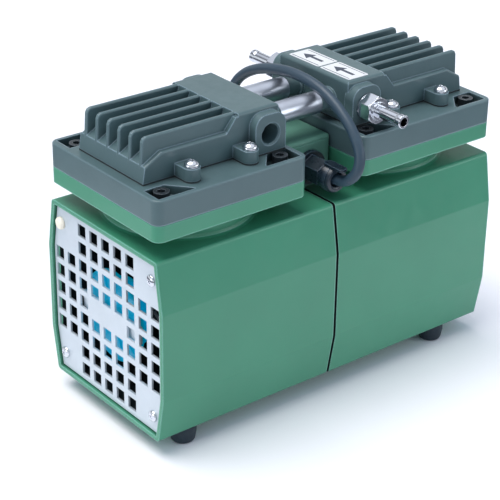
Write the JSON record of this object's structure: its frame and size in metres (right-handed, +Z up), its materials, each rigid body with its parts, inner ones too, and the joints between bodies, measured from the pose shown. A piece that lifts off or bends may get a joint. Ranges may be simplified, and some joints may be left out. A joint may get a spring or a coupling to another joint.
{
  "type": "diaphragm vacuum pump",
  "caption": "Twin-head diaphragm vacuum pump: finned heads on a casing that holds the motor, linked by transfer pipes, with hose nipples, end grilles and a mains cord.",
  "frame": {"origin": "on the standing surface under the middle of the casing, cord left out", "axes": "+X along the motor shaft, -Y towards the side with the cable gland, +Z up"},
  "size_m": [0.2825, 0.2346, 0.2111],
  "materials": {
    "green_paint": "satin enamel on die-cast aluminium",
    "head_paint": "satin dark grey-green enamel on die-cast aluminium",
    "grille_silver": "satin silver",
    "bright_screw": "nickel plated",
    "black_bolt": "black oxide",
    "white_dot": "matt",
    "black_rubber": "matt",
    "lamination_steel": "oxidised edges",
    "enamelled_copper": "varnished windings",
    "bearing_steel": "ground",
    "cast_crank": "machined",
    "cast_rod": "as cast",
    "clamp_steel": "turned",
    "spring_steel": "polished strip",
    "blue_fan": "moulded",
    "zinc_plate": "zinc plated",
    "chrome": "polished",
    "capacitor_case": "moulded",
    "terminal_plastic": "moulded",
    "black_nylon": "moulded",
    "grey_cord": "smooth sheath",
    "plug_brass": "stamped"
  },
  "bodies": {
    "housing": {"left_housing": "green_paint", "right_housing": "green_paint", "case_gasket": "black_rubber", "tie_bolts": "black_bolt", "left_grille": "grille_silver", "right_grille": "grille_silver", "m4_screws": "bright_screw", "screw_seal_dot": "white_dot", "rubber_feet": "black_rubber", "stator_core": "lamination_steel", "stator_windings": "enamelled_copper", "main_bearing_outer_rings": "bearing_steel", "left_diaphragm": "black_rubber", "right_diaphragm": "black_rubber", "left_head_plate": "head_paint", "right_head_plate": "head_paint", "reed_retainers": "clamp_steel", "cover_gaskets": "black_rubber", "left_head_cover": "head_paint", "right_head_cover": "head_paint", "head_screws": "black_bolt", "cover_screws": "bright_screw", "inlet_pipe": "chrome", "outlet_pipe": "chrome", "pipe_seals": "black_rubber", "inlet_nipple": "chrome", "outlet_nipple": "chrome", "nipple_washers": "chrome", "terminal_box": "green_paint", "terminal_box_lid": "green_paint", "run_capacitor": "capacitor_case", "terminal_block": "terminal_plastic", "cable_gland_body": "black_nylon", "cable_gland_cap": "black_nylon", "cable_gland_bush": "black_rubber", "power_cord": "grey_cord", "cord_coil": "grey_cord", "cord_tail": "grey_cord", "plug_body": "grey_cord", "plug_blades": "plug_brass"},
    "shaft": {"motor_shaft": "bearing_steel", "rotor": "lamination_steel", "main_bearing_inner_rings": "bearing_steel", "left_eccentric": "cast_crank", "right_eccentric": "cast_crank", "crank_bearing_inner_rings": "bearing_steel", "left_fan": "blue_fan", "right_fan": "blue_fan", "fan_clamps": "zinc_plate"},
    "left_rod": {"left_connecting_rod": "cast_rod", "left_crank_bearing_ring": "bearing_steel", "left_clamp_disc": "clamp_steel"},
    "right_rod": {"right_connecting_rod": "cast_rod", "right_crank_bearing_ring": "bearing_steel", "right_clamp_disc": "clamp_steel"},
    "left_inlet_flap": {"left_inlet_reed": "spring_steel"},
    "left_outlet_flap": {"left_outlet_reed": "spring_steel"},
    "right_inlet_flap": {"right_inlet_reed": "spring_steel"},
    "right_outlet_flap": {"right_outlet_reed": "spring_steel"}
  },
  "joints": [
    {"name": "shaft_spin", "type": "hinge", "parent": "housing", "child": "shaft", "pos_m": [0, 0, 0.075], "axis": [1, 0, 0], "continuous": true},
    {"name": "left_rod_swing", "type": "hinge", "parent": "shaft", "child": "left_rod", "pos_m": [-0.0815, 0, 0.078], "axis": [1, 0, 0], "continuous": true, "deforming": ["left_diaphragm"]},
    {"name": "right_rod_swing", "type": "hinge", "parent": "shaft", "child": "right_rod", "pos_m": [0.0815, 0, 0.072], "axis": [1, 0, 0], "continuous": true, "deforming": ["right_diaphragm"]},
    {"name": "left_inlet_flap_bend", "type": "hinge", "parent": "housing", "child": "left_inlet_flap", "pos_m": [-0.0695, -0.014, 0.1722], "axis": [0, -1, 0], "range_deg": [0, 8], "stiffness_Nm_per_rad": 0.02},
    {"name": "left_outlet_flap_bend", "type": "hinge", "parent": "housing", "child": "left_outlet_flap", "pos_m": [-0.0695, 0.014, 0.178], "axis": [0, 1, 0], "range_deg": [0, 8], "stiffness_Nm_per_rad": 0.02},
    {"name": "right_inlet_flap_bend", "type": "hinge", "parent": "housing", "child": "right_inlet_flap", "pos_m": [0.0695, -0.014, 0.1722], "axis": [0, 1, 0], "range_deg": [0, 8], "stiffness_Nm_per_rad": 0.02},
    {"name": "right_outlet_flap_bend", "type": "hinge", "parent": "housing", "child": "right_outlet_flap", "pos_m": [0.0695, 0.014, 0.178], "axis": [0, -1, 0], "range_deg": [0, 8], "stiffness_Nm_per_rad": 0.02}
  ],
  "couplings": [
    {"joint": "left_rod_swing", "follows": "shaft_spin", "ratio": -1},
    {"joint": "right_rod_swing", "follows": "shaft_spin", "ratio": -1}
  ]
}
